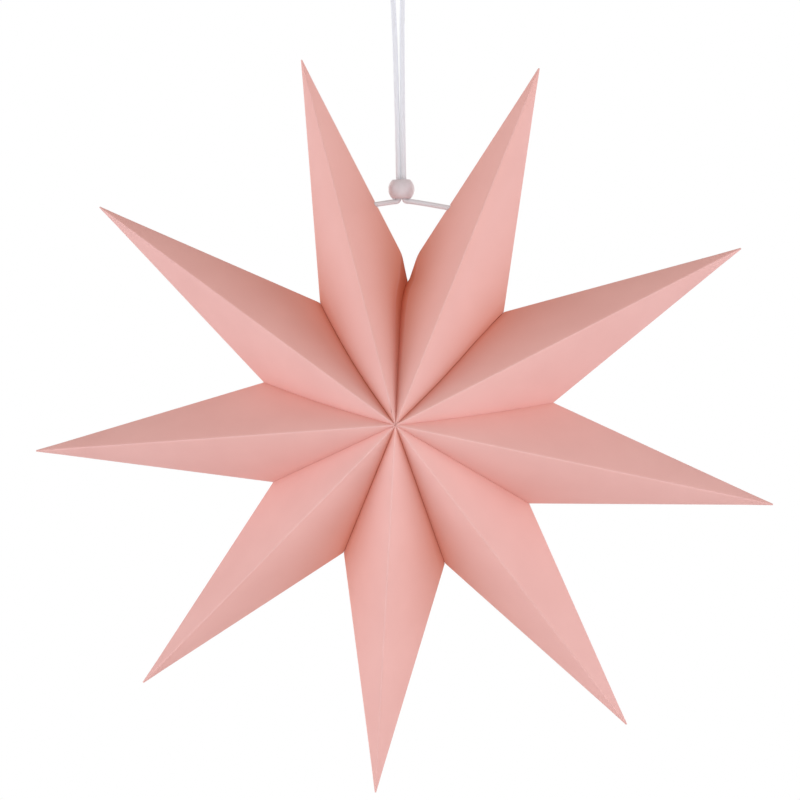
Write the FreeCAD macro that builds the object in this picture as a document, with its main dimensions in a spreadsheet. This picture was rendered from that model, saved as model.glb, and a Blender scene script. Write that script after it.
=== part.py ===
"""Folding paper star with nine points, hung from a cord loop with a sliding bead.

The star is nine hollow card spikes round a front-to-back axis. Each spike is one folded sheet: two front
panels and two back panels that meet at the front ridge, the back ridge and two side folds, and a glue flap
along each valley crease. Neighbours are glued flap to flap, and between the flaps the webs are cut away.
The ring isn't closed at the top: there the two end spikes meet in a seam, which the cord pulls shut.

Frame: millimetres, +X right, +Y from the front to the back, +Z up. The origin is the inside of the top of
the cord's loop, where it lies on its hook. Angles run clockwise from +Z as seen from the front.
"""
import FreeCAD, Part
import math
import os
import Sketcher

Vector = FreeCAD.Vector
Rotation = FreeCAD.Rotation
Placement = FreeCAD.Placement

# Driving sizes: name, value in millimetres or degrees, meaning.
SIZES = (
    ("spike_count", 9, "spikes round the star"),
    ("star_radius", 150.0, "axis to the nipped tip of a spike"),
    ("tip_nip", 1.5, "what the nip takes off the point where the folds would meet"),
    ("half_depth", 45.0, "middle plane to the front or back apex"),
    ("valley_radius", 59.1, "axis to the corner between two spikes"),
    ("card", 0.35, "thickness of the card"),
    ("flap_width", 9.0, "glue flap along each valley crease"),
    ("turn", 5.2, "turn of the whole star about its axis, degrees"),
    ("crowding", 1.2, "lean of the spikes at the sides towards the seam, degrees"),
    ("seam_corner_radius", 56.5, "axis to the end of the closed part of the seam"),
    ("seam_lip_length", 10.0, "from there out to the bend in each side fold"),
    ("seam_gap", 6.0, "distance between those two bends"),
    ("hang_drop", 190.0, "hook to the star's axis"),
    ("star_offset", -0.6, "star's axis sideways of the hook"),
    ("cord_diameter", 2.0, "round cord"),
    ("cord_hole", 2.6, "hole through the side fold for the cord"),
    ("bead_diameter", 10.4, "ball that the bead is cut from"),
    ("bead_height", 7.6, "between the bead's flat ends"),
    ("bead_bore", 4.4, "hole for both strands of the cord"),
    ("bead_mouth", 1.1, "round at each end of the bore"),
    ("bead_drop", 97.6, "hook to the middle of the bead"),
    ("knot_diameter", 5.2, "stopper knot in each end of the cord"),
)

# Extra lean of each spike and of the valley after it, in degrees clockwise: the star is folded and glued by
# hand, and its ends are pulled together at the seam, which is valley 0.
SPIKE_LEAN = {1: -2.75, 2: -0.25, 3: -0.3, 4: 0.35, 5: 0.35, 6: 0.05, 7: -0.1, 8: -0.25, 9: -0.45}
VALLEY_LEAN = {0: -2.2, 1: -0.9, 4: 0.35, 5: 0.3, 7: -0.25}

# Route of the cord from the left knot to the right one: x, z, radius of the bend. The two strands lie side
# by side above the bead, part a little towards the top and go over the hook. Below the bead each one is
# pulled straight to its hole. A bend with no radius of its own is as large as its two runs allow.
BEAD_BEND = 2.2
LOOP_BEND = 3.9
ROUTE = (
    (-13.8, -103.89, None),
    (-9.6, -103.30, None),
    (-4.9, -102.68, None),
    (-1.05, -102.40, BEAD_BEND),
    (-1.05, -68.0, None),
    (-1.7, -17.0, None),
    (-4.4, -1.1, LOOP_BEND),
    (0.0, 1.76, LOOP_BEND),
    (4.4, -1.1, LOOP_BEND),
    (1.7, -17.0, None),
    (1.05, -68.0, None),
    (1.05, -102.35, BEAD_BEND),
    (5.4, -102.80, None),
    (11.6, -103.95, None),
    (18.1, -105.30, None),
    (22.25, -106.07, None),
)
BEND_SHARE = 0.45

CUT_MARGIN = 0.5


def make_sheet(doc):
    """Spreadsheet of the driving sizes, one alias each."""
    sheet = doc.addObject("Spreadsheet::Sheet", "Sizes")
    for row, (name, value, meaning) in enumerate(SIZES, start=1):
        sheet.set(f"A{row}", name)
        sheet.set(f"B{row}", str(value))
        sheet.set(f"C{row}", meaning)
        sheet.setAlias(f"B{row}", name)
    doc.recompute()
    return sheet


def polar(radius, angle, sideways=0.0):
    """Point of the middle plane at an angle from +Z, moved sideways (clockwise) from that direction."""
    turn = math.radians(angle)
    outward = Vector(math.sin(turn), 0, math.cos(turn))
    clockwise = Vector(math.cos(turn), 0, -math.sin(turn))
    return outward * radius + clockwise * sideways


def leaned(sizes, angle):
    """Where a regular angle, counted from the seam, lies on the hanging star."""
    return sizes.turn + angle - sizes.crowding * math.sin(math.radians(angle))


def tip_angle(sizes, number):
    """Angle of a spike's tip, with its extra lean."""
    regular = 360.0 / sizes.spike_count * (number - 0.5)
    return leaned(sizes, regular) + SPIKE_LEAN.get(number, 0.0)


def valley_angle(sizes, number):
    """Angle of the valley after a spike: 0 is the seam, seen from the first spike."""
    regular = 360.0 / sizes.spike_count * number
    return leaned(sizes, regular) + VALLEY_LEAN.get(number % sizes.spike_count, 0.0)


def side_corners(sizes, number, side):
    """Corners of one side fold from the valley outwards, before the tip, relative to the spike's tip angle.

    side is -1 for the side towards the spike before and 1 for the other one.
    """
    valley = number if side > 0 else number - 1
    angle = valley_angle(sizes, valley) - tip_angle(sizes, number)
    if valley not in (0, sizes.spike_count):
        return [polar(sizes.valley_radius, angle)]
    away = -side * sizes.seam_gap / 2
    lip_radius = sizes.seam_corner_radius + sizes.seam_lip_length
    return [polar(sizes.seam_corner_radius, angle), polar(lip_radius, angle, away)]


def panel_plane(first, second, third, inside):
    """Plane through three points, as a point and the unit normal that points away from inside."""
    normal = (second - first).cross(third - first).normalize()
    if normal.dot(inside - first) > 0:
        normal = -normal
    return first, normal


def trimmed(blank, planes, inset, span):
    """What is left of blank behind every plane, after each plane has moved in by inset."""
    for point, normal in planes:
        block = Part.makeBox(span, span, span, Vector(-span / 2, -span / 2, 0))
        block.Placement = Placement(point - normal * inset, Rotation(Vector(0, 0, 1), normal))
        blank = blank.cut(block)
    return blank


def web_window(sizes, corner):
    """Cutter for the part of a web that is left out between the front flap and the back flap."""
    valley_radius = corner.Length
    outward = Vector(corner).normalize()
    across = outward.cross(Vector(0, 1, 0))
    slope = sizes.half_depth / valley_radius
    reach = valley_radius - sizes.flap_width * math.hypot(1, slope) / slope
    past_axis = sizes.card + CUT_MARGIN
    half_base = slope * (reach + past_axis)
    start = across * -(sizes.card + CUT_MARGIN)
    outline = [
        start + outward * reach,
        start - outward * past_axis + Vector(0, half_base, 0),
        start - outward * past_axis - Vector(0, half_base, 0),
    ]
    face = Part.Face(Part.makePolygon(outline + outline[:1]))
    return face.extrude(across * 2 * (sizes.card + CUT_MARGIN))


def folded_spike(sizes, number):
    """One folded sheet with its tip along +Z: flat panels, mitred where they meet at the folds."""
    front = Vector(0, -sizes.half_depth, 0)
    back = Vector(0, sizes.half_depth, 0)
    point = Vector(0, 0, sizes.star_radius + sizes.tip_nip)
    inside = Vector(0, 0, sizes.valley_radius)
    planes = [(Vector(0, 0, sizes.star_radius), Vector(0, 0, 1))]
    windows = []
    for side in (-1, 1):
        corners = side_corners(sizes, number, side)
        planes.append(panel_plane(front, back, corners[0], inside))
        windows.append(web_window(sizes, corners[0]))
        for inner, outer in zip(corners, corners[1:] + [point]):
            planes.append(panel_plane(front, inner, outer, inside))
            planes.append(panel_plane(back, inner, outer, inside))
    span = 4 * sizes.star_radius
    blank = Part.makeBox(span, span, span, Vector(-span / 2, -span / 2, -span / 2))
    outer_form = trimmed(blank, planes, 0.0, span)
    hollow = trimmed(blank, planes, sizes.card, span)
    return outer_form.cut([hollow] + windows).removeSplitter()


def add_spike(doc, sizes, number):
    """A spike's card at its own angle round the axis."""
    card = doc.addObject("Part::Feature", f"Card{number}")
    card.Shape = folded_spike(sizes, number)
    angle = tip_angle(sizes, number)
    card.Placement = Placement(Vector(sizes.star_offset, 0, -sizes.hang_drop), Rotation(Vector(0, 1, 0), angle))
    return card


def add_cord_hole(doc, card, knot_end, bend):
    """The card with the hole that the cord runs through, along the cord's straight run to its knot."""
    start = Vector(bend[0], 0, bend[1])
    run = Vector(knot_end[0], 0, knot_end[1]) - start
    punch = doc.addObject("Part::Cylinder", card.Name + "Hole")
    punch.setExpression("Radius", "Sizes.cord_hole / 2")
    punch.Height = run.Length
    punch.Placement = Placement(start, Rotation(Vector(0, 0, 1), run))
    pierced = doc.addObject("Part::Cut", card.Name + "Pierced")
    pierced.Base = card
    pierced.Tool = punch
    return pierced


def add_spikes(doc, sizes):
    """All spikes, clockwise from the seam, with the cord's holes in the two beside the seam."""
    count = int(sizes.spike_count)
    for number in range(1, count + 1):
        spike = add_spike(doc, sizes, number)
        if number == 1:
            spike = add_cord_hole(doc, spike, ROUTE[-1], ROUTE[-3])
        if number == count:
            spike = add_cord_hole(doc, spike, ROUTE[0], ROUTE[2])
        spike.Label = f"spike_{number}"
        yield spike


def route_edges(points, bends):
    """Straight runs joined by tangent arcs, and the radius of each arc."""
    edges = []
    radii = []
    start = points[0]
    for before, corner, after, bend in zip(points, points[1:], points[2:], bends[1:]):
        run_in = corner - before
        run_out = after - corner
        half_turn = math.tan(run_in.getAngle(run_out) / 2)
        radius = bend or BEND_SHARE * min(run_in.Length, run_out.Length) / half_turn
        to_centre = (Vector(run_out).normalize() - Vector(run_in).normalize()).normalize()
        first = corner - Vector(run_in).normalize() * radius * half_turn
        last = corner + Vector(run_out).normalize() * radius * half_turn
        middle = corner + to_centre * radius * (math.hypot(1, half_turn) - 1)
        if (first - start).Length > 1e-6:
            edges.append(Part.LineSegment(start, first).toShape())
        edges.append(Part.Arc(first, middle, last).toShape())
        radii.append(radius)
        start = last
    edges.append(Part.LineSegment(start, points[-1]).toShape())
    return edges, radii


def add_cord(doc):
    """One round tube along the route, from knot to knot."""
    points = [Vector(x, 0, z) for x, z, bend in ROUTE]
    edges, radii = route_edges(points, [bend for x, z, bend in ROUTE])
    path = doc.addObject("Part::Feature", "CordRoute")
    path.Shape = Part.Wire(edges)
    section = doc.addObject("Part::Circle", "CordSection")
    section.setExpression("Radius", "Sizes.cord_diameter / 2")
    section.Placement = Placement(points[0], Rotation(Vector(0, 0, 1), points[1] - points[0]))
    cord = doc.addObject("Part::Sweep", "Cord")
    cord.Sections = [section]
    cord.Spine = (path, [f"Edge{index}" for index in range(1, len(edges) + 1)])
    cord.Solid = True
    cord.Label = "hanging_cord"
    print("cord length", round(path.Shape.Length, 1), "bend radii", [round(radius, 1) for radius in radii])
    return cord, path


def add_knot(doc, cord, end, label):
    """Stopper knot: a ball tied round the last of the cord, where the cord fills its hole."""
    ball = doc.addObject("Part::Sphere", "KnotBall")
    ball.setExpression("Radius", "Sizes.knot_diameter / 2")
    ball.Placement.Base = Vector(end[0], 0, end[1])
    knot = doc.addObject("Part::Cut", "Knot")
    knot.Base = ball
    knot.Tool = cord
    knot.Label = label
    return knot


def add_bead(doc, sizes):
    """Bead turned from a ball: flat ends, a bore for both strands and rounded mouths."""
    body = doc.addObject("PartDesign::Body", "Bead")
    sketch = body.newObject("Sketcher::SketchObject", "BeadProfile")
    plane = next(item for item in body.Origin.OriginFeatures if item.Role == "XZ_Plane")
    sketch.AttachmentSupport = (plane, [""])
    sketch.MapMode = "FlatFace"
    draw_bead_profile(sketch, sizes)
    turned = body.newObject("PartDesign::Revolution", "BeadTurned")
    turned.Profile = sketch
    turned.ReferenceAxis = (sketch, ["V_Axis"])
    turned.Angle = 360
    doc.recompute()
    mouths = body.newObject("PartDesign::Fillet", "BeadMouths")
    mouths.Base = (turned, bore_rims(turned.Shape, sizes.bead_bore / 2))
    mouths.setExpression("Radius", "Sizes.bead_mouth")
    body.Tip = mouths
    body.setExpression("Placement.Base.z", "-Sizes.bead_drop")
    body.Label = "bead"
    return body


def draw_bead_profile(sketch, sizes):
    """Half section of the bead: ball outline, two flat ends and the wall of the bore."""
    half_height = sizes.bead_height / 2
    bore_radius = sizes.bead_bore / 2
    ball_radius = sizes.bead_diameter / 2
    rise = math.asin(half_height / ball_radius)
    rim = ball_radius * math.cos(rise)
    ball = Part.Circle(Vector(0, 0, 0), Vector(0, 0, 1), ball_radius)
    corners = [
        Vector(rim, half_height, 0),
        Vector(bore_radius, half_height, 0),
        Vector(bore_radius, -half_height, 0),
        Vector(rim, -half_height, 0),
    ]
    sketch.addGeometry(Part.ArcOfCircle(ball, -rise, rise), False)
    for first, second in zip(corners, corners[1:]):
        sketch.addGeometry(Part.LineSegment(first, second), False)
    start, end, centre = 1, 2, 3
    arc, top, wall, bottom = range(4)
    add = sketch.addConstraint
    Constraint = Sketcher.Constraint
    add(Constraint("Coincident", arc, centre, -1, start))
    add(Constraint("Coincident", arc, end, top, start))
    add(Constraint("Coincident", top, end, wall, start))
    add(Constraint("Coincident", wall, end, bottom, start))
    add(Constraint("Coincident", bottom, end, arc, start))
    add(Constraint("Horizontal", top))
    add(Constraint("Vertical", wall))
    add(Constraint("Horizontal", bottom))
    bind(sketch, add(Constraint("Radius", arc, ball_radius)), "Sizes.bead_diameter / 2")
    bind(sketch, add(Constraint("DistanceX", -1, start, wall, start, bore_radius)), "Sizes.bead_bore / 2")
    bind(sketch, add(Constraint("DistanceY", -1, start, wall, start, half_height)), "Sizes.bead_height / 2")
    bind(sketch, add(Constraint("DistanceY", wall, end, -1, start, half_height)), "Sizes.bead_height / 2")


def bind(sketch, index, expression):
    """Ties one dimension of a sketch to the spreadsheet."""
    sketch.setExpression(f"Constraints[{index}]", expression)


def bore_rims(shape, radius):
    """Names of the circular edges at the ends of the bore."""
    return [
        f"Edge{index}"
        for index, edge in enumerate(shape.Edges, start=1)
        if isinstance(edge.Curve, Part.Circle) and abs(edge.Curve.Radius - radius) < 1e-3
    ]


def check(doc, parts):
    """Stops if any object failed or any sub-part isn't one sound solid."""
    for item in doc.Objects:
        if "Invalid" in item.State or "Error" in item.State:
            raise RuntimeError(f"{item.Name} failed: {item.State}")
    for item in parts:
        shape = item.Shape
        if shape.isNull() or not shape.isValid() or len(shape.Solids) != 1:
            raise RuntimeError(f"{item.Label} isn't one valid solid")


def main():
    """Builds the star and writes one STEP file for each sub-part."""
    doc = FreeCAD.newDocument("PaperStar")
    sizes = make_sheet(doc)
    parts = list(add_spikes(doc, sizes))
    cord, route = add_cord(doc)
    parts += [
        cord,
        add_knot(doc, cord, ROUTE[0], "left_knot"),
        add_knot(doc, cord, ROUTE[-1], "right_knot"),
        add_bead(doc, sizes),
    ]
    doc.recompute()
    check(doc, parts)
    section_area = math.pi * sizes.cord_diameter ** 2 / 4
    print("cord volume over section times length", round(cord.Shape.Volume / section_area / route.Shape.Length, 4))
    os.makedirs("parts", exist_ok=True)
    for item in parts:
        item.Shape.exportStep(f"parts/{item.Label}.step")
        print(item.Label, "volume", round(item.Shape.Volume, 1))


main()
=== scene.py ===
"""The folding paper star as it looks: dyed card with rounded folds, a white cord and its bead.

All lengths are in metres, in the part's own frame: origin on the hook inside the cord's loop, +Z up, the
star's front towards -Y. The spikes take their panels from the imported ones, and from there they are rounded,
swelled and bowed a little, as in the photograph.
"""
import bmesh
import bpy
import math
from mathutils import Matrix, Vector


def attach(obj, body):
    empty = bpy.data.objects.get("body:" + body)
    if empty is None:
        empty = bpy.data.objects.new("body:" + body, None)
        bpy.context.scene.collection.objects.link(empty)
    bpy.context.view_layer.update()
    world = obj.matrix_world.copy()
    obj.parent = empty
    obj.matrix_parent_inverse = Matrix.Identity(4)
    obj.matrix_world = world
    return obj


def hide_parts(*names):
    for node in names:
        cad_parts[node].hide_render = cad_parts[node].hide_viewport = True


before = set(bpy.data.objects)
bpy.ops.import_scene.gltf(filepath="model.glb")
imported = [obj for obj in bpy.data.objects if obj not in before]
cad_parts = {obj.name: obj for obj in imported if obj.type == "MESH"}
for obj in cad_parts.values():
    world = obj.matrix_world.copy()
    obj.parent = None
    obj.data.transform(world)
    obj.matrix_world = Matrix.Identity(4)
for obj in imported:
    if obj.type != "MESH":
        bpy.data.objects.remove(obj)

MM = 0.001

# Camera: the star's centre lies at this pixel of the photograph, seen from this side at this distance.
IMAGE_SIZE = 800
CENTRE_PIXEL = (404.3, 420.8)
PIXELS_PER_METRE = 2500
CAMERA_DISTANCE = 1.0
CAMERA_AZIMUTH = math.radians(4.4)
CAMERA_ELEVATION = math.radians(1.6)
CAMERA_ROLL = math.radians(1.1)
SENSOR_WIDTH = 36
CLIP_START = 0.01

# Card: thickness, glue flap along each valley crease, and where mesh lines run beside a fold and across
# the panels.
CARD = 0.35 * MM
FLAP_WIDTH = 9.0 * MM
FOLD_LINES = (0.08 * MM, 0.2 * MM, 0.38 * MM, 0.6 * MM, 0.95 * MM)
RING_STEP = 5 * MM
FAN_STEP = math.radians(3)
FAN_LINES = 6
# Softness of the folds, how it shrinks over the last stretch towards the apex and the tip, and how often a
# point is brought nearer to the rounded form.
FOLD_SOFTNESS = 0.17 * MM
SHARP_SHARE = 0.25
SHARP_REACH = 10 * MM
ROUNDING_PASSES = 3
# Outward swell of a panel, how far from its folds it builds up, and the least share of a panel that counts.
PANEL_SWELL = 0.6 * MM
SWELL_REACH = 3.0 * MM
LEAST_SHARE = 0.01
# How much fuller the swell is on panels that face the seam by more than this cosine.
SEAM_SWELL = 1.6
SEAM_FACING = 0.4
# Narrow facets beside the seam are smaller than this, in square metres, and stay flat.
LIP_AREA = 600 * MM * MM
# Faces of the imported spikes: webs and nips have a normal that leans less than this out of the middle plane,
# a nip also faces outward by more than this, and faces that meet at less than this angle count as one.
WEB_TILT = 0.02
NIP_FACING = 0.9
FLAT_ANGLE = math.radians(0.6)
# Distances below which two places are the same, a place lies in a plane, two corners are welded, and a
# corner lies in the middle plane.
SAME_PLACE = 1e-7
IN_PLANE = 1e-6
WELD = 2e-6
MIDDLE = 0.01 * MM
# Sideways bow of the glued valleys, clockwise positive, by the number of the spike before each one.
VALLEY_BOW = {1: 0.7 * MM, 2: 0.7 * MM, 7: -0.9 * MM, 8: -1.4 * MM}
BOW_REACH = math.radians(16)
# Moves of the corners between spikes, outward and clockwise, by the number of the spike before each one.
CORNER_MOVE = {
    2: (1.1 * MM, 0.0),
    3: (0.7 * MM, 0.2 * MM),
    4: (0.4 * MM, 0.0),
    5: (-0.6 * MM, -0.1 * MM),
    6: (-0.5 * MM, -0.3 * MM),
    7: (-0.3 * MM, 0.1 * MM),
    8: (-0.8 * MM, -0.5 * MM),
}
# The seam, valley 9, leans over by this share of the distance from the axis, almost to its end.
SEAM = 9
SEAM_LAP = -0.05
SEAM_END_POWER = 12
# The lip of the last spike, past the seam's end: how far round the axis and outward it gives way, its own
# share of the lean, and how much painted shade it takes at the seam's end.
LIP_REACH = math.radians(9)
LIP_LENGTH = 10 * MM
LIP_LEAN = 0.2
LIP_PAINTED_SHADE = 0.8
# How tightly each valley is pressed together, from 0 to 1, by the number of the spike before it; it also
# sets how strong the painted shade beside and along that valley is.
TIGHTNESS = {1: 0.85, 2: 0.15, 3: 0.25, 4: 1.0, 5: 1.0, 6: 0.2, 7: 0.25, 8: 1.0}
# Painted shade beside a valley, deepening the card's colour there: how far to its side, as a share of the
# distance from the axis, the distance at which it is full, and its share in a tight valley. The seam takes
# all of it.
VALLEY_REACH = 0.14
VALLEY_START = 50 * MM
VALLEY_SHADE_SHARE = 0.55
# A darker line of painted shade along a valley: its width, the distance from the axis at which it is full,
# and how much of the folds' rounding is left there, in a tight valley and in the seam; the painted line's
# strength goes with that share.
GROOVE_WIDTH = 0.9 * MM
GROOVE_START = 4 * MM
GROOVE_DEPTH = 0.6
SEAM_DEPTH = 0.12
# Edges of the thickened card that are shaded sharp.
SHARP_EDGE = math.radians(50)

# Cord: the route of the CAD tube from the left knot to the right one, as x and z.
CORD_DIAMETER = 2.0 * MM
CORD_ROUTE = (
    (-0.01380, -0.10389),
    (-0.00960, -0.10330),
    (-0.00490, -0.10268),
    (-0.00360, -0.10254),
    (-0.00105, -0.10236),
    (-0.00105, -0.09950),
    (-0.00105, -0.09800),
    (-0.00105, -0.06800),
    (-0.00170, -0.01700),
    (-0.00440, -0.00110),
    (0.00000, 0.00176),
    (0.00440, -0.00110),
    (0.00170, -0.01700),
    (0.00105, -0.06800),
    (0.00105, -0.09800),
    (0.00105, -0.09950),
    (0.00105, -0.10233),
    (0.00370, -0.10252),
    (0.00540, -0.10280),
    (0.01160, -0.10395),
    (0.01810, -0.10530),
    (0.02225, -0.10607),
)

# The hole for the cord in the card of each end spike: its size, how far round it the card is cut, and
# which two points of the route it lies along.
HOLE_RADIUS = 1.3 * MM
HOLE_SIDES = 16
NEAR_HOLE = 8 * HOLE_RADIUS
HOLES = {"spike_9": (0, 2), "spike_1": (-1, -3)}

# Bead: depth below the hook, half its height, radii of its ball and bore, the round at the bore's mouths,
# and steps round it, along its ball and along each mouth.
BEAD_DROP = 97.6 * MM
BEAD_HALF_HEIGHT = 3.8 * MM
BEAD_BALL = 5.2 * MM
BEAD_BORE = 2.2 * MM
BEAD_MOUTH = 1.1 * MM
BEAD_STEPS = 96
BALL_STEPS = 32
MOUTH_STEPS = 8

# Knots: radius of their cord, half the size of their loops, and steps along and round the tube.
KNOT_CORD = 0.95 * MM
KNOT_SPREAD = 0.55 * MM
KNOT_STEPS = 90
KNOT_SIDES = 14

# Colours of each material from its deeper to its paler shade; the painted shade beside the card's valleys
# and along their darkest lines; and the paler line along its folds, partly crease whitening, partly painted
# highlight.
CARD_SHADES = ((0.82, 0.466, 0.430), (0.85, 0.495, 0.458))
VALLEY_PAINTED_SHADE = (0.80, 0.26, 0.145)
GROOVE_PAINTED_SHADE = (0.68, 0.22, 0.14)
FOLD_PALE_AND_HIGHLIGHT = (0.86, 0.52, 0.495)
CORD_SHADES = ((0.73, 0.735, 0.78), (0.825, 0.83, 0.88))
BEAD_SHADES = ((0.66, 0.592, 0.62), (0.72, 0.652, 0.682))
FLOOR_SHADES = ((0.88, 0.91, 0.935), (0.91, 0.94, 0.965))

# Lamps: name, azimuth and elevation in degrees, distance, width and height in metres, watts, colour.
COOL_WHITE = (0.955, 1.045, 1.16)
WARM_WHITE = (1.0, 0.89, 0.78)
SOFT_WHITE = (1.0, 0.97, 0.94)
LAMPS = (
    ("left_box", -66, -2, 1.8, 1.15, 2.45, 17.1, COOL_WHITE),
    ("right_box", 70, -2, 1.8, 1.15, 2.45, 16.9, COOL_WHITE),
    ("front_fill", 4, 8, 0.7, 0.7, 0.7, 1.3, WARM_WHITE),
    ("low_fill", 4, -28, 0.7, 1.0, 0.3, 0.6, COOL_WHITE),
    ("back_left_box", -135, 5, 1.3, 0.7, 1.2, 4.0, SOFT_WHITE),
    ("back_right_box", 135, 5, 1.3, 0.7, 1.2, 4.0, SOFT_WHITE),
)
# All-round light: its strength, and its colour from straight below and from straight above.
WORLD_LEVEL = 0.39
WORLD_SHADES = ((0.95, 1.03, 1.06), (1.09, 0.94, 0.85))

# Floor: depth below the hook, radius and number of sides.
FLOOR_DROP = 0.55
FLOOR_RADIUS = 0.6
FLOOR_SIDES = 96


def star_centre(nodes):
    """Middle of the star: its front apex, moved back to the middle plane."""
    apex = min((v.co for v in nodes["spike_1"].data.vertices), key=lambda co: co.y)
    return Vector((apex.x, 0, apex.z))


def flat_offset(co, centre):
    """Way from the star's axis to a point, seen from the front."""
    return Vector((co.x - centre.x, 0, co.z - centre.z))


def clockwise_of(way):
    """The same way, turned clockwise by a quarter as seen from the front."""
    return Vector((way.z, 0, -way.x))


def spike_before(number):
    """Number of the spike before another, clockwise."""
    return (number - 2) % SEAM + 1


def outward_direction(node, centre):
    """Direction from the star's axis to the tip of one spike."""
    offsets = [flat_offset(vertex.co, centre) for vertex in node.data.vertices]
    return max(offsets, key=lambda offset: offset.length).normalized()


def clockwise_angle(offset):
    """Angle of an offset from the star's axis, clockwise from straight up as seen from the front."""
    return math.atan2(offset.x, offset.z)


def turned_apart(first, second):
    """Signed difference of two angles, between half a turn each way."""
    return (first - second + math.pi) % math.tau - math.pi


def outer_form(node):
    """Closed outer form of one spike, without its hollow and holes."""
    mesh = bmesh.new()
    for vertex in node.data.vertices:
        mesh.verts.new(vertex.co)
    hull = bmesh.ops.convex_hull(mesh, input=mesh.verts[:])
    left_over = hull["geom_interior"] + hull["geom_unused"]
    inner = {item for item in left_over if isinstance(item, bmesh.types.BMVert)}
    bmesh.ops.delete(mesh, geom=list(inner), context="VERTS")
    bmesh.ops.dissolve_limit(mesh, angle_limit=FLAT_ANGLE, verts=mesh.verts[:], edges=mesh.edges[:])
    bmesh.ops.recalc_face_normals(mesh, faces=mesh.faces[:])
    return mesh


def card_panels(mesh, outward):
    """The flat faces of a spike as point, normal and kind: panel, web, nip or lip."""
    panels = []
    for face in mesh.faces:
        kind = "panel"
        if abs(face.normal.y) < WEB_TILT:
            kind = "nip" if face.normal.dot(outward) > NIP_FACING else "web"
        elif face.calc_area() < LIP_AREA:
            kind = "lip"
        panels.append((face.calc_center_median(), face.normal.copy(), kind))
    return panels


def cut(mesh, point, normal, faces=None):
    """Divides the mesh, or some of its faces, along a plane."""
    chosen = mesh.faces[:] if faces is None else faces
    edges = {edge for face in chosen for edge in face.edges}
    verts = {vert for face in chosen for vert in face.verts}
    parts = list(chosen) + list(edges) + list(verts)
    bmesh.ops.bisect_plane(mesh, geom=parts, plane_co=point, plane_no=normal, dist=SAME_PLACE)


def add_mesh_lines(mesh, centre, outward, panels, reach):
    """Lines beside every fold, rings across the spike and a fan from its apex."""
    for point, normal, kind in panels:
        for inset in FOLD_LINES:
            cut(mesh, point - normal * inset, normal)
    for index in range(1, int(reach / RING_STEP)):
        cut(mesh, centre + outward * index * RING_STEP, outward)
    across = clockwise_of(outward)
    for index in range(-FAN_LINES, FAN_LINES + 1):
        cut(mesh, centre, Matrix.Rotation(index * FAN_STEP, 3, "Y") @ across)


def on_plane(face, point, normal):
    """Whether a face lies in a plane."""
    return all(abs((vert.co - point).dot(normal)) < IN_PLANE for vert in face.verts)


def open_web(mesh, centre, apexes, point, normal):
    """Cuts away the middle of a web and leaves the two glue flaps."""
    faces = [face for face in mesh.faces if on_plane(face, point, normal)]
    rim = [vert.co.copy() for face in faces for vert in face.verts]
    corner = max(rim, key=lambda co: (co - centre).length)
    inner_sides = []
    for apex, other in (apexes, apexes[::-1]):
        inward = normal.cross(corner - apex).normalized()
        if inward.dot(other - apex) < 0:
            inward = -inward
        inner_sides.append((apex + inward * FLAP_WIDTH, inward))
    for place, inward in inner_sides:
        faces = [face for face in mesh.faces if on_plane(face, point, normal)]
        cut(mesh, place, inward, faces)
    window = [
        face for face in mesh.faces
        if on_plane(face, point, normal)
        and all((face.calc_center_median() - place).dot(inward) > 0 for place, inward in inner_sides)
    ]
    bmesh.ops.delete(mesh, geom=window, context="FACES")


def off_axis(face, point, axis):
    """Distance of a face's nearest corner from a line."""
    return min((vert.co - point).cross(axis).length for vert in face.verts)


def punch_hole(mesh, route_ends):
    """Cuts the cord's hole out of the side fold."""
    outer, inner = (Vector((CORD_ROUTE[index][0], 0, CORD_ROUTE[index][1])) for index in route_ends)
    axis = (outer - inner).normalized()
    sideways = Vector((0, 1, 0))
    sides = []
    for index in range(HOLE_SIDES):
        normal = Matrix.Rotation(index * math.tau / HOLE_SIDES, 3, axis) @ sideways
        sides.append((outer + normal * HOLE_RADIUS, normal))
    for place, normal in sides:
        near = [face for face in mesh.faces if off_axis(face, outer, axis) < NEAR_HOLE]
        cut(mesh, place, normal, near)
    inside = [
        face for face in mesh.faces
        if all((face.calc_center_median() - place).dot(normal) < 0 for place, normal in sides)
        and (face.calc_center_median() - outer).dot(inner - outer) > 0
    ]
    bmesh.ops.delete(mesh, geom=inside, context="FACES")


def fold_softness(along, reach):
    """Softness of the folds at a distance from the axis: finer at both ends of the spike."""
    end_distance = max(0.0, min(along, reach - along))
    share = min(1.0, SHARP_SHARE + (1 - SHARP_SHARE) * end_distance / SHARP_REACH)
    return FOLD_SOFTNESS * share


def soft_form(co, panels, softness):
    """Height of a point over the rounded form, the way out there, and each panel's share in it."""
    heights = [(co - point).dot(normal) for point, normal, kind in panels]
    highest = max(heights)
    shares = [math.exp((height - highest) / softness) for height in heights]
    total = sum(shares)
    way_out = Vector()
    for share, (point, normal, kind) in zip(shares, panels):
        way_out += normal * share / total
    return highest + softness * math.log(total), way_out, [share / total for share in shares]


def kind_share(shares, panels, kind):
    """Share of all the panels of one kind at a point."""
    return sum(share for share, panel in zip(shares, panels) if panel[2] == kind)


def rounded(co, panels, softness):
    """The point of the rounded form next to a point, and the way out there."""
    for _ in range(ROUNDING_PASSES):
        height, way_out, shares = soft_form(co, panels, softness)
        co = co - way_out * height / way_out.length_squared
    return co, way_out


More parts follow.
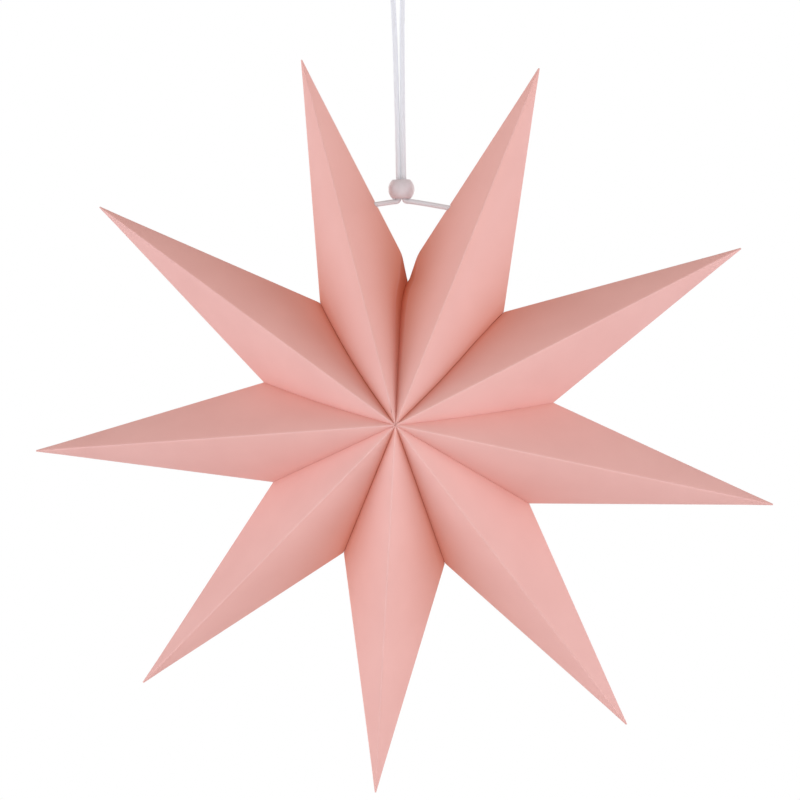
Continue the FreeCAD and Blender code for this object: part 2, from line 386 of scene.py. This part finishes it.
def panel_swell(co, panels, shares, seam_side):
    """Height of the swell of the panel under a point: nothing at its folds, most in its middle."""
    height = 0.0
    for share, (point, normal, kind) in zip(shares, panels):
        if kind != "panel" or share < LEAST_SHARE:
            continue
        inverse = 0.0
        for other_point, other_normal, other_kind in panels:
            if other_normal != normal:
                inverse += 1 / max(SAME_PLACE, (other_point - co).dot(other_normal))
        beside_seam = seam_side is not None and normal.dot(seam_side) > SEAM_FACING
        fullness = SEAM_SWELL if beside_seam else 1.0
        height += share * fullness * PANEL_SWELL * (1 - math.exp(-1 / inverse / SWELL_REACH))
    return height


def valley_webs(panels, number, across):
    """Each web of a spike as point and normal, with its valley's share of painted shade and of rounding."""
    webs = []
    for point, normal, kind in panels:
        if kind != "web":
            continue
        valley = number if normal.dot(across) > 0 else spike_before(number)
        if valley == SEAM:
            webs.append((point, normal, 1.0, SEAM_DEPTH))
        else:
            tightness = TIGHTNESS[valley]
            webs.append((point, normal, VALLEY_SHADE_SHARE * tightness, GROOVE_DEPTH * tightness))
    return webs


def nearest_web(co, webs):
    """Distance to the web nearest to a point, and that valley's share of painted shade and of rounding."""
    return min(((point - co).dot(normal), colour, depth) for point, normal, colour, depth in webs)


def valley_painted_shade(co, centre, webs):
    """How much painted shade a point takes beside a valley and along the valley's darkest line, each from 0
    to 1.
    """
    radius = flat_offset(co, centre).length
    inset, colour, depth = nearest_web(co, webs)
    inset = max(0.0, inset)
    valley = min(1.0, radius / VALLEY_START) * math.exp(-inset / max(radius, MM) / VALLEY_REACH)
    groove_painted_shade = min(1.0, radius / GROOVE_START) * math.exp(-inset / GROOVE_WIDTH)
    return valley * colour, groove_painted_shade * depth / GROOVE_DEPTH


def lip_painted_shade(co, centre, seam_radius):
    """How much painted shade the last spike's lip takes, from 0 to 1: most where it slips behind the next
    spike.
    """
    radius = flat_offset(co, centre).length
    return min(1.0, max(0.0, (radius - seam_radius) / LIP_LENGTH + LIP_PAINTED_SHADE))


def seam_bow(radius, seam_radius, last_spike):
    """Sideways move of the seam; the lip of the last spike leans over with it."""
    share = max(0.0, 1 - (radius / seam_radius) ** SEAM_END_POWER)
    if last_spike:
        share = max(share, LIP_LEAN * min(1.0, (seam_radius + LIP_LENGTH - radius) / LIP_LENGTH))
    return SEAM_LAP * radius * share


def valley_shift(co, centre, valleys, last_spike):
    """Sideways move of a point that makes the glued valleys bow and the seam lean."""
    offset = flat_offset(co, centre)
    radius = offset.length
    shift = Vector()
    if radius < IN_PLANE:
        return shift
    angle = clockwise_angle(offset)
    for number, (valley_angle, valley_radius) in valleys.items():
        apart = turned_apart(angle, valley_angle)
        lip = last_spike and number == SEAM
        reach = LIP_REACH if lip else BOW_REACH
        end = valley_radius + LIP_LENGTH if lip else valley_radius
        if abs(apart) < reach and radius < end:
            fade = math.cos(apart / reach * math.pi / 2) ** 2
            if number == SEAM:
                amount = seam_bow(radius, valley_radius, lip) * fade
            else:
                amount = VALLEY_BOW.get(number, 0.0) * math.sin(radius / valley_radius * math.pi) * fade
            shift += clockwise_of(offset) / radius * amount
    return shift


def corner_shift(co, number, centre, outward, valleys):
    """Move of a point with the corners beside its spike: the panels stay flat and the ridge stays put."""
    offset = flat_offset(co, centre)
    shift = Vector()
    for valley in (number, spike_before(number)):
        move_out, move_round = CORNER_MOVE.get(valley, (0.0, 0.0))
        angle, radius = valleys[valley]
        way = Vector((math.sin(angle), 0, math.cos(angle)))
        share = max(0.0, outward.cross(offset).y / outward.cross(way * radius).y)
        shift += (way * move_out + clockwise_of(way) * move_round) * share
    return shift


def clockwise_slope(offset, outward, across):
    """How far clockwise from a spike's own direction an offset points."""
    return math.atan2(offset.dot(across), offset.dot(outward))


def find_valleys(nodes, centre):
    """Angle and radius of the corner after each spike."""
    valleys = {}
    for number in range(1, SEAM + 1):
        node = nodes[f"spike_{number}"]
        outward = outward_direction(node, centre)
        across = clockwise_of(outward)
        middle = [flat_offset(v.co, centre) for v in node.data.vertices if abs(v.co.y) < MIDDLE]
        corner = max(middle, key=lambda offset: clockwise_slope(offset, outward, across))
        valleys[number] = (clockwise_angle(corner), corner.length)
    return valleys


def shape_card(mesh, number, centre, outward, panels, valleys, reach):
    """Rounds the folds, swells the panels and bows the valleys; marks for the material the painted shade in
    the valleys and on the lip, and the folds' pale line, partly painted highlight.
    """
    fold_pale_and_highlight_layer = mesh.verts.layers.float.new("fold")
    valley_shade_layer = mesh.verts.layers.float.new("valley")
    groove_shade_layer = mesh.verts.layers.float.new("groove_painted_shade")
    across = clockwise_of(outward)
    seam_side = {1: -across, SEAM: across}.get(number)
    webs = valley_webs(panels, number, across)
    for vert in mesh.verts:
        softness = fold_softness((vert.co - centre).dot(outward), reach)
        height, way_out, shares = soft_form(vert.co, panels, softness)
        web_share = kind_share(shares, panels, "web")
        lip_share = kind_share(shares, panels, "lip")
        roundness = min(1.0, height / softness / math.log(2))
        # Marks for the material: the pale fold line, partly crease whitening, partly painted highlight; and
        # painted shade in the valleys and on the last spike's lip.
        vert[fold_pale_and_highlight_layer] = roundness * max(0.0, 1 - 2 * web_share - 2 * lip_share)
        valley, groove_painted_shade = valley_painted_shade(vert.co, centre, webs)
        if number == SEAM:
            groove_painted_shade = max(groove_painted_shade, lip_share * lip_painted_shade(vert.co, centre, valleys[SEAM][1]))
        vert[valley_shade_layer] = valley
        vert[groove_shade_layer] = groove_painted_shade
        swell = panel_swell(vert.co, panels, shares, seam_side)
        co, way_out = rounded(vert.co, panels, softness)
        crisp_share = min(1.0, 2 * web_share) * (1 - nearest_web(vert.co, webs)[2])
        co = co.lerp(vert.co, crisp_share)
        moved = valley_shift(co, centre, valleys, number == SEAM)
        moved += corner_shift(co, number, centre, outward, valleys)
        vert.co = co + way_out.normalized() * swell + moved


def make_spike(node, number, centre, valleys, material):
    """One spike of folded card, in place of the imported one."""
    outward = outward_direction(node, centre)
    reach = max((v.co - centre).dot(outward) for v in node.data.vertices)
    depth = max(v.co.y for v in node.data.vertices)
    apexes = (centre - Vector((0, depth, 0)), centre + Vector((0, depth, 0)))
    mesh = outer_form(node)
    panels = card_panels(mesh, outward)
    add_mesh_lines(mesh, centre, outward, panels, reach)
    for point, normal, kind in panels:
        if kind == "web":
            open_web(mesh, centre, apexes, point, normal)
    if node.name in HOLES:
        punch_hole(mesh, HOLES[node.name])
    bmesh.ops.remove_doubles(mesh, verts=mesh.verts[:], dist=WELD)
    shape_card(mesh, number, centre, outward, panels, valleys, reach)
    piece = new_piece(f"card_{number}", mesh, material)
    thicken(piece)
    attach(piece, "star")
    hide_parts(node.name)


def new_piece(name, mesh, material):
    """Object made of a bmesh, shaded smooth all over."""
    data = bpy.data.meshes.new(name)
    mesh.to_mesh(data)
    mesh.free()
    data.materials.append(material)
    data.shade_smooth()
    piece = bpy.data.objects.new(name, data)
    bpy.context.scene.collection.objects.link(piece)
    return piece


def thicken(piece):
    """Gives the sheet the thickness of the card, inwards."""
    modifier = piece.modifiers.new("card", "SOLIDIFY")
    modifier.thickness = CARD
    modifier.offset = -1
    graph = bpy.context.evaluated_depsgraph_get()
    thick = bpy.data.meshes.new_from_object(piece.evaluated_get(graph))
    piece.modifiers.clear()
    thin = piece.data
    piece.data = thick
    bpy.data.meshes.remove(thin)
    thick.name = piece.name
    thick.set_sharp_from_angle(angle=SHARP_EDGE)


def make_cord(material):
    """The cord as one smooth spline from knot to knot."""
    curve = bpy.data.curves.new("cord", "CURVE")
    curve.dimensions = "3D"
    curve.resolution_u = 24
    curve.bevel_resolution = 6
    curve.bevel_depth = CORD_DIAMETER / 2
    curve.use_fill_caps = True
    spline = curve.splines.new("NURBS")
    spline.points.add(len(CORD_ROUTE) - 1)
    for point, (x, z) in zip(spline.points, CORD_ROUTE):
        point.co = (x, 0, z, 1)
    spline.order_u = 3
    spline.use_endpoint_u = True
    curve.materials.append(material)
    piece = bpy.data.objects.new("cord", curve)
    bpy.context.scene.collection.objects.link(piece)
    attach(piece, "star")
    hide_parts("hanging_cord")
    return piece


def bead_profile():
    """Radius and height of the bead's section, once round: bore, mouths and ball."""
    rise = math.asin(BEAD_HALF_HEIGHT / BEAD_BALL)
    ball = [
        (BEAD_BALL * math.cos(turn), BEAD_BALL * math.sin(turn))
        for turn in (rise * (1 - 2 * step / BALL_STEPS) for step in range(BALL_STEPS + 1))
    ]
    mouth = []
    for step in range(MOUTH_STEPS + 1):
        turn = math.pi / 2 * step / MOUTH_STEPS
        radius = BEAD_BORE + BEAD_MOUTH * (1 - math.cos(turn))
        mouth.append((radius, BEAD_HALF_HEIGHT - BEAD_MOUTH * (1 - math.sin(turn))))
    lower_mouth = [(radius, -height) for radius, height in reversed(mouth)]
    return mouth + ball + lower_mouth


def make_bead(material):
    """The turned bead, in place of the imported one."""
    mesh = bmesh.new()
    rings = []
    for step in range(BEAD_STEPS):
        turn = step * math.tau / BEAD_STEPS
        rings.append([
            mesh.verts.new((radius * math.cos(turn), radius * math.sin(turn), height - BEAD_DROP))
            for radius, height in bead_profile()
        ])
    for ring, following in zip(rings, rings[1:] + rings[:1]):
        for index in range(len(ring)):
            after = (index + 1) % len(ring)
            mesh.faces.new((ring[index], ring[after], following[after], following[index]))
    bmesh.ops.recalc_face_normals(mesh, faces=mesh.faces[:])
    piece = new_piece("round_bead", mesh, material)
    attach(piece, "bead")
    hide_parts("bead")
    return piece


def make_knot(node, name, material):
    """Overhand knot pulled tight: a tube along three crossing loops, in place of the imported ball."""
    places = list(zip(*(vertex.co for vertex in node.data.vertices)))
    middle = Vector([(min(values) + max(values)) / 2 for values in places])
    path = []
    for step in range(KNOT_STEPS):
        turn = step * math.tau / KNOT_STEPS
        path.append(KNOT_SPREAD * Vector((
            math.sin(turn) + 2 * math.sin(2 * turn),
            -math.sin(3 * turn),
            math.cos(turn) - 2 * math.cos(2 * turn),
        )))
    mesh = bmesh.new()
    rings = []
    for index, place in enumerate(path):
        run = (path[(index + 1) % KNOT_STEPS] - path[index - 1]).normalized()
        side = run.cross(place).normalized()
        ring = []
        for corner in range(KNOT_SIDES):
            turned = Matrix.Rotation(corner * math.tau / KNOT_SIDES, 3, run) @ side
            ring.append(mesh.verts.new(middle + place + turned * KNOT_CORD))
        rings.append(ring)
    for ring, following in zip(rings, rings[1:] + rings[:1]):
        for corner in range(KNOT_SIDES):
            sides = (ring[corner], ring[corner - 1], following[corner - 1], following[corner])
            mesh.faces.new(sides)
    bmesh.ops.recalc_face_normals(mesh, faces=mesh.faces[:])
    piece = new_piece(name, mesh, material)
    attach(piece, "star")
    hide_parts(node.name)
    return piece


def new_material(name, roughness):
    """Material with its shader's own roughness, and its node tree."""
    material = bpy.data.materials.new(name)
    material.use_nodes = True
    tree = material.node_tree
    shader = tree.nodes["Principled BSDF"]
    shader.inputs["Roughness"].default_value = roughness
    return material, tree, shader


def add_node(tree, kind, **settings):
    """New node with some of its properties and inputs set."""
    node = tree.nodes.new(kind)
    for name, value in settings.items():
        if hasattr(node, name):
            setattr(node, name, value)
        else:
            node.inputs[name.replace("_", " ")].default_value = value
    return node


def noise(tree, scale, detail):
    """Noise over the object's own coordinates, one unit of scale to the metre."""
    place = add_node(tree, "ShaderNodeTexCoord")
    texture = add_node(tree, "ShaderNodeTexNoise", Scale=scale, Detail=detail)
    tree.links.new(place.outputs["Object"], texture.inputs["Vector"])
    return texture.outputs["Fac"]


def colour_between(tree, shades, factor, start=0.3, end=0.7):
    """Ramp from one colour to another."""
    low, high = shades
    ramp = add_node(tree, "ShaderNodeValToRGB")
    ramp.color_ramp.elements[0].position = start
    ramp.color_ramp.elements[0].color = (*low, 1)
    ramp.color_ramp.elements[1].position = end
    ramp.color_ramp.elements[1].color = (*high, 1)
    tree.links.new(factor, ramp.inputs["Fac"])
    return ramp.outputs["Color"]


def bumped(tree, shader, height, strength, distance):
    """Links a height to the shader's normal."""
    bump = add_node(tree, "ShaderNodeBump", Strength=strength, Distance=distance)
    tree.links.new(height, bump.inputs["Height"])
    tree.links.new(bump.outputs["Normal"], shader.inputs["Normal"])


def mixed(tree, base, colour, attribute):
    """Blends a colour in where the mesh's attribute is high."""
    share = add_node(tree, "ShaderNodeAttribute", attribute_name=attribute)
    mix = add_node(tree, "ShaderNodeMix", data_type="RGBA")
    tree.links.new(share.outputs["Fac"], mix.inputs["Factor"])
    tree.links.new(base, mix.inputs[6])
    mix.inputs[7].default_value = (*colour, 1)
    return mix.outputs[2]


def card_material():
    """Dyed card: faint clouding and fine fibres, painted shade in the valleys, and a pale line along each
    fold that is partly crease whitening, partly painted highlight.
    """
    material, tree, shader = new_material("card", roughness=0.82)
    shader.inputs["Specular IOR Level"].default_value = 0.25
    clouds = colour_between(tree, CARD_SHADES, noise(tree, scale=45, detail=3))
    # Painted shade in the valleys and along their darkest lines, then the pale fold line, partly painted
    # highlight.
    valley_shaded = mixed(tree, clouds, VALLEY_PAINTED_SHADE, "valley")
    line_shaded = mixed(tree, valley_shaded, GROOVE_PAINTED_SHADE, "groove_painted_shade")
    fold_paled_and_highlighted = mixed(tree, line_shaded, FOLD_PALE_AND_HIGHLIGHT, "fold")
    tree.links.new(fold_paled_and_highlighted, shader.inputs["Base Color"])
    bumped(tree, shader, noise(tree, scale=2600, detail=4), strength=0.25, distance=0.05 * MM)
    return material


def cord_material():
    """White braid: small slanting plaits along the cord."""
    material, tree, shader = new_material("cord", roughness=0.7)
    shader.inputs["Sheen Weight"].default_value = 0.2
    place = add_node(tree, "ShaderNodeTexCoord")
    braid = add_node(tree, "ShaderNodeTexWave", Scale=600, Distortion=1.0, Detail=1)
    braid.bands_direction = "DIAGONAL"
    tree.links.new(place.outputs["Object"], braid.inputs["Vector"])
    colour = colour_between(tree, CORD_SHADES, braid.outputs["Fac"], start=0.0, end=0.8)
    tree.links.new(colour, shader.inputs["Base Color"])
    bumped(tree, shader, braid.outputs["Fac"], strength=0.4, distance=0.1 * MM)
    return material


def bead_material():
    """Satin bead, off-white with a faint rosy clouding."""
    material, tree, shader = new_material("bead", roughness=0.38)
    colour = colour_between(tree, BEAD_SHADES, noise(tree, scale=300, detail=2))
    tree.links.new(colour, shader.inputs["Base Color"])
    bumped(tree, shader, noise(tree, scale=1500, detail=2), strength=0.08, distance=0.05 * MM)
    return material


def floor_material():
    """Plain pale floor with a trace of unevenness."""
    material, tree, shader = new_material("floor", roughness=0.9)
    colour = colour_between(tree, FLOOR_SHADES, noise(tree, scale=6, detail=2))
    tree.links.new(colour, shader.inputs["Base Color"])
    return material


def make_floor():
    """Pale disc below the star, which takes its shadow."""
    mesh = bmesh.new()
    place = Matrix.Translation((0, 0, -FLOOR_DROP))
    bmesh.ops.create_circle(mesh, cap_ends=True, segments=FLOOR_SIDES, radius=FLOOR_RADIUS, matrix=place)
    new_piece("floor", mesh, floor_material())


def ambient_light(tree):
    """All-round light, cooler from below and warmer from above."""
    place = add_node(tree, "ShaderNodeTexCoord")
    parts = add_node(tree, "ShaderNodeSeparateXYZ")
    tree.links.new(place.outputs["Generated"], parts.inputs[0])
    rise = add_node(tree, "ShaderNodeMapRange", From_Min=-1.0, From_Max=1.0)
    tree.links.new(parts.outputs["Z"], rise.inputs["Value"])
    colour = colour_between(tree, WORLD_SHADES, rise.outputs["Result"], start=0.0, end=1.0)
    ambient = add_node(tree, "ShaderNodeBackground", Strength=WORLD_LEVEL)
    tree.links.new(colour, ambient.inputs["Color"])
    return ambient.outputs[0]


def make_world():
    """Soft all-round light, and plain white behind the star."""
    world = bpy.data.worlds.new("studio")
    world.use_nodes = True
    tree = world.node_tree
    tree.nodes.clear()
    rays = add_node(tree, "ShaderNodeLightPath")
    seen = add_node(tree, "ShaderNodeMath", operation="MAXIMUM")
    tree.links.new(rays.outputs["Is Camera Ray"], seen.inputs[0])
    tree.links.new(rays.outputs["Is Glossy Ray"], seen.inputs[1])
    passing = add_node(tree, "ShaderNodeMath", operation="MAXIMUM")
    tree.links.new(seen.outputs[0], passing.inputs[0])
    tree.links.new(rays.outputs["Is Transmission Ray"], passing.inputs[1])
    white = add_node(tree, "ShaderNodeBackground", Color=(1, 1, 1, 1), Strength=1.0)
    mix = add_node(tree, "ShaderNodeMixShader")
    tree.links.new(passing.outputs[0], mix.inputs["Fac"])
    tree.links.new(ambient_light(tree), mix.inputs[1])
    tree.links.new(white.outputs[0], mix.inputs[2])
    output = add_node(tree, "ShaderNodeOutputWorld")
    tree.links.new(mix.outputs[0], output.inputs["Surface"])
    bpy.context.scene.world = world


def seen_from(azimuth, elevation):
    """Unit vector from the star towards a viewer at an azimuth and elevation."""
    level = math.cos(elevation)
    return Vector((math.sin(azimuth) * level, -math.cos(azimuth) * level, math.sin(elevation)))


def make_lamps(centre):
    """Soft boxes turned to the star's middle."""
    for name, azimuth, elevation, distance, width, height, power, colour in LAMPS:
        light = bpy.data.lights.new(name, "AREA")
        light.shape = "RECTANGLE"
        light.size = width
        light.size_y = height
        light.energy = power
        light.color = colour
        lamp = bpy.data.objects.new(name, light)
        back = seen_from(math.radians(azimuth), math.radians(elevation))
        lamp.location = centre + back * distance
        lamp.rotation_euler = back.to_track_quat("Z", "Y").to_euler()
        bpy.context.scene.collection.objects.link(lamp)


def make_camera(centre):
    """Camera at the photograph's viewing angle, framed on the star's centre."""
    back = seen_from(CAMERA_AZIMUTH, CAMERA_ELEVATION)
    level_right = Vector((math.cos(CAMERA_AZIMUTH), math.sin(CAMERA_AZIMUTH), 0))
    level_up = back.cross(level_right)
    right = math.cos(CAMERA_ROLL) * level_right - math.sin(CAMERA_ROLL) * level_up
    up = math.sin(CAMERA_ROLL) * level_right + math.cos(CAMERA_ROLL) * level_up
    pixel = CAMERA_DISTANCE / PIXELS_PER_METRE
    left_move = (CENTRE_PIXEL[0] - IMAGE_SIZE / 2) * pixel
    up_move = (CENTRE_PIXEL[1] - IMAGE_SIZE / 2) * pixel
    place = centre + back * CAMERA_DISTANCE - right * left_move + up * up_move
    data = bpy.data.cameras.new("camera")
    data.sensor_width = SENSOR_WIDTH
    data.lens = SENSOR_WIDTH * PIXELS_PER_METRE * CAMERA_DISTANCE / IMAGE_SIZE
    data.clip_start = CLIP_START
    camera = bpy.data.objects.new("camera", data)
    camera.matrix_world = Matrix((
        (right.x, up.x, back.x, place.x),
        (right.y, up.y, back.y, place.y),
        (right.z, up.z, back.z, place.z),
        (0, 0, 0, 1),
    ))
    bpy.context.scene.collection.objects.link(camera)
    bpy.context.scene.camera = camera


def dress(nodes):
    """Makes every piece of the star."""
    centre = star_centre(nodes)
    make_camera(centre)
    white_cord = cord_material()
    cord = make_cord(white_cord)
    knots = [make_knot(nodes[f"{side}_knot"], f"{side}_tied_knot", white_cord) for side in ("left", "right")]
    bead = make_bead(bead_material())
    card = card_material()
    valleys = find_valleys(nodes, centre)
    for number in range(1, SEAM + 1):
        make_spike(nodes[f"spike_{number}"], number, centre, valleys, card)
    make_floor()
    make_lamps(centre)
    make_world()


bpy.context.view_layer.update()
dress(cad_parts)
bpy.context.scene.view_settings.view_transform = "Standard"
